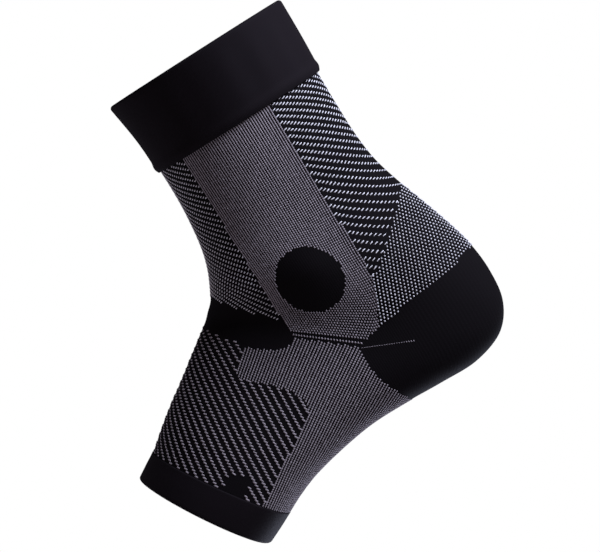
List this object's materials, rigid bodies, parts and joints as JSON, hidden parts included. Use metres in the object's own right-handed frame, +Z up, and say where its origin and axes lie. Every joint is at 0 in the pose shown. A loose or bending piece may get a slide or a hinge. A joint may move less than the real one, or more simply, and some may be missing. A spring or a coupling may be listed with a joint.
{
  "type": "ankle sleeve",
  "caption": "Knitted compression ankle sleeve with an open toe and closed heel, a folded calf cuff and toe band, and zones of ribbed, dotted and plain knit.",
  "frame": {"origin": "middle of the ankle joint, midway between the two ankle discs", "axes": "+Z up the leg, -X towards the toes, -Y to the outer side of a left foot"},
  "size_m": [0.1916, 0.0888, 0.2123],
  "materials": {
    "black_welt": "satin",
    "black_knit": "matte",
    "ribbed_knit": "matte",
    "dotted_knit": "matte",
    "support_knit": "matte"
  },
  "bodies": {
    "root": {"calf_cuff": "black_welt", "toe_band": "black_welt", "shin_rib_panel": "ribbed_knit", "achilles_rib_panel": "ribbed_knit", "forefoot_rib_panel": "ribbed_knit", "achilles_mesh_panel": "dotted_knit", "instep_band": "black_knit", "heel_cup": "black_knit", "arch_wrap": "support_knit", "outer_stirrup": "support_knit", "inner_stirrup": "support_knit", "outer_ankle_disc": "black_knit", "inner_ankle_disc": "black_knit"}
  },
  "joints": []
}
